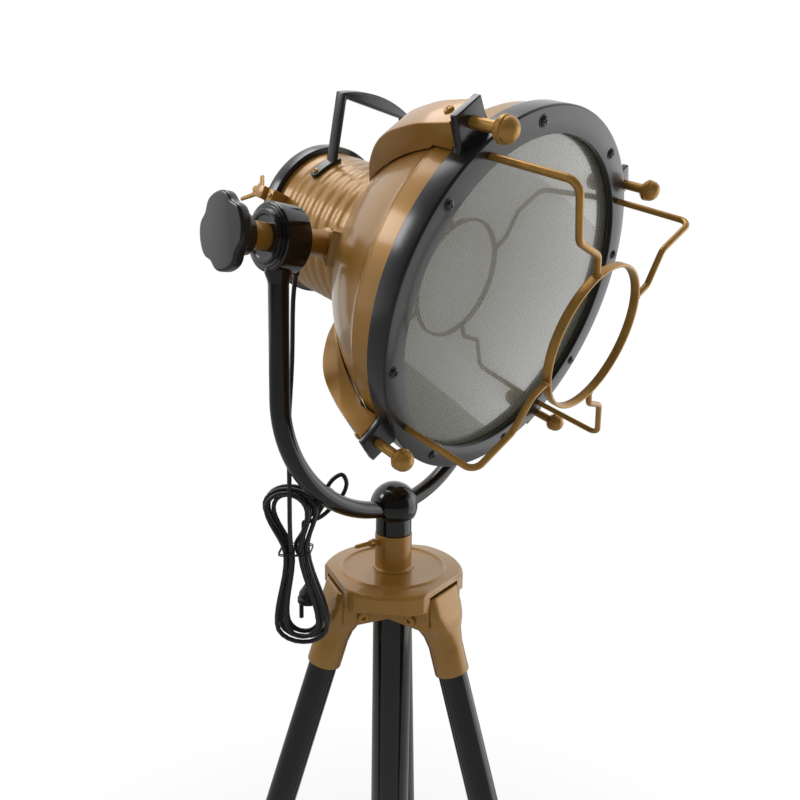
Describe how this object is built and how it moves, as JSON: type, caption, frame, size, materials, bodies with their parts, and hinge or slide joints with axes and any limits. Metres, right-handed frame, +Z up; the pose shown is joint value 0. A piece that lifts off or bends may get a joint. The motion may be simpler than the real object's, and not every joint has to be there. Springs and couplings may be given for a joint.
{
  "type": "spotlight floor lamp",
  "caption": "Searchlight-style floor lamp: a round caged spotlight head tilting in a U yoke on a folding tripod with splayed tube legs.",
  "frame": {"origin": "on the floor, under the middle of the outline of the lamp's rigid pieces", "axes": "+Z up; the head faces -Y, tilted 20 degrees down; +X to the right of someone who faces the lens"},
  "size_m": [0.7428, 0.6856, 1.6188],
  "materials": {
    "bronze_casting": "antique bronze satin lacquer",
    "bronze_steel": "antique bronze satin lacquer",
    "black_steel": "glossy black paint",
    "black_casting": "glossy black paint",
    "plated_steel": "plated",
    "reflector_metal": "polished",
    "lens_glass": "prismatic",
    "bulb_glass": "opal",
    "ceramic": "glazed ceramic",
    "black_rubber": "matt",
    "black_pvc": "satin PVC"
  },
  "bodies": {
    "base": {"tripod_plate": "bronze_casting", "stem_collar": "bronze_casting", "centre_column": "black_steel", "pivot_bolt_1": "bronze_steel", "pivot_bolt_2": "bronze_steel", "pivot_bolt_3": "bronze_steel"},
    "leg_1": {"leg_socket_1": "bronze_casting", "leg_tube_1": "black_steel", "leg_foot_1": "black_rubber"},
    "leg_2": {"leg_socket_2": "bronze_casting", "leg_tube_2": "black_steel", "leg_foot_2": "black_rubber"},
    "leg_3": {"leg_socket_3": "bronze_casting", "leg_tube_3": "black_steel", "leg_foot_3": "black_rubber"},
    "wing_screw": {"wing_screw": "bronze_steel"},
    "mast": {"mast_tube": "plated_steel"},
    "yoke": {"yoke_hub": "black_steel", "yoke_arm_left": "black_steel", "yoke_arm_right": "black_steel", "pivot_hub_left": "black_casting", "pivot_hub_right": "black_casting", "cord_grommet": "black_rubber", "cord_lead": "black_pvc", "cord_hank": "black_pvc", "cord_loop": "black_pvc", "cord_switch": "black_pvc", "cord_tail": "black_pvc", "cord_plug": "black_pvc", "cord_tie": "black_pvc"},
    "head": {"lamp_drum": "bronze_casting", "lamp_dome": "bronze_casting", "bezel_ring": "black_casting", "lens": "lens_glass", "lens_gasket": "black_rubber", "guard": "bronze_steel", "carry_handle": "black_steel", "cowl_1": "bronze_casting", "cowl_2": "bronze_casting", "cowl_3": "bronze_casting", "cowl_4": "bronze_casting", "pivot_shaft_left": "bronze_casting", "pivot_shaft_right": "bronze_casting", "cover_hinge": "bronze_steel", "latch_block": "bronze_steel", "reflector": "reflector_metal", "lamp_holder": "ceramic", "bulb": "bulb_glass"},
    "tilt_knob_left": {"tilt_knob_left": "black_casting"},
    "tilt_knob_right": {"tilt_knob_right": "black_casting"},
    "clamp_knob_1": {"clamp_knob_1": "bronze_steel"},
    "clamp_knob_2": {"clamp_knob_2": "bronze_steel"},
    "clamp_knob_3": {"clamp_knob_3": "bronze_steel"},
    "clamp_knob_4": {"clamp_knob_4": "bronze_steel"},
    "rear_cover": {"rear_cover": "black_casting"},
    "latch_screw": {"latch_screw": "bronze_steel"}
  },
  "joints": [
    {"name": "leg_1_fold", "type": "hinge", "parent": "base", "child": "leg_1", "pos_m": [-0.02445, 0.10358, 1.064], "axis": [-0.4067, -0.9135, 0], "range_deg": [0, 18]},
    {"name": "leg_2_fold", "type": "hinge", "parent": "base", "child": "leg_2", "pos_m": [0.02646, 0.03352, 1.064], "axis": [0.9945, 0.1045, 0], "range_deg": [0, 18]},
    {"name": "leg_3_fold", "type": "hinge", "parent": "base", "child": "leg_3", "pos_m": [0.06168, 0.11264, 1.064], "axis": [-0.5878, 0.809, 0], "range_deg": [0, 18]},
    {"name": "wing_screw_turn", "type": "hinge", "parent": "base", "child": "wing_screw", "pos_m": [0.02123, 0.08325, 1.131], "axis": [-0.9659, 0.2588, 0], "continuous": true},
    {"name": "mast_slide", "type": "slide", "parent": "base", "child": "mast", "axis": [0, 0, 1], "range_m": [0, 0.3]},
    {"name": "yoke_pan", "type": "hinge", "parent": "mast", "child": "yoke", "pos_m": [0.02123, 0.08325, 1.1408], "axis": [0, 0, 1], "continuous": true},
    {"name": "head_tilt", "type": "hinge", "parent": "yoke", "child": "head", "pos_m": [0.02123, 0.08325, 1.4535], "axis": [1, 0, 0], "range_deg": [-80, 17]},
    {"name": "tilt_knob_left_turn", "type": "hinge", "parent": "head", "child": "tilt_knob_left", "pos_m": [-0.17877, 0.08325, 1.4535], "axis": [-1, 0, 0], "continuous": true},
    {"name": "tilt_knob_right_turn", "type": "hinge", "parent": "head", "child": "tilt_knob_right", "pos_m": [0.22123, 0.08325, 1.4535], "axis": [1, 0, 0], "continuous": true},
    {"name": "clamp_knob_1_turn", "type": "hinge", "parent": "head", "child": "clamp_knob_1", "pos_m": [-0.10803, -0.13245, 1.51255], "axis": [0, -0.9397, -0.342], "continuous": true},
    {"name": "clamp_knob_2_turn", "type": "hinge", "parent": "head", "child": "clamp_knob_2", "pos_m": [-0.10803, -0.04404, 1.26962], "axis": [0, -0.9397, -0.342], "continuous": true},
    {"name": "clamp_knob_3_turn", "type": "hinge", "parent": "head", "child": "clamp_knob_3", "pos_m": [0.15049, -0.04404, 1.26962], "axis": [0, -0.9397, -0.342], "continuous": true},
    {"name": "clamp_knob_4_turn", "type": "hinge", "parent": "head", "child": "clamp_knob_4", "pos_m": [0.15049, -0.13245, 1.51255], "axis": [0, -0.9397, -0.342], "continuous": true},
    {"name": "rear_cover_hinge", "type": "hinge", "parent": "head", "child": "rear_cover", "pos_m": [0.11073, 0.1997, 1.47564], "axis": [-0.2079, 0.3345, -0.9192], "range_deg": [0, 100]},
    {"name": "latch_screw_turn", "type": "hinge", "parent": "rear_cover", "child": "latch_screw", "pos_m": [-0.06925, 0.204, 1.51792], "axis": [0, 0.9397, 0.342], "continuous": true}
  ]
}
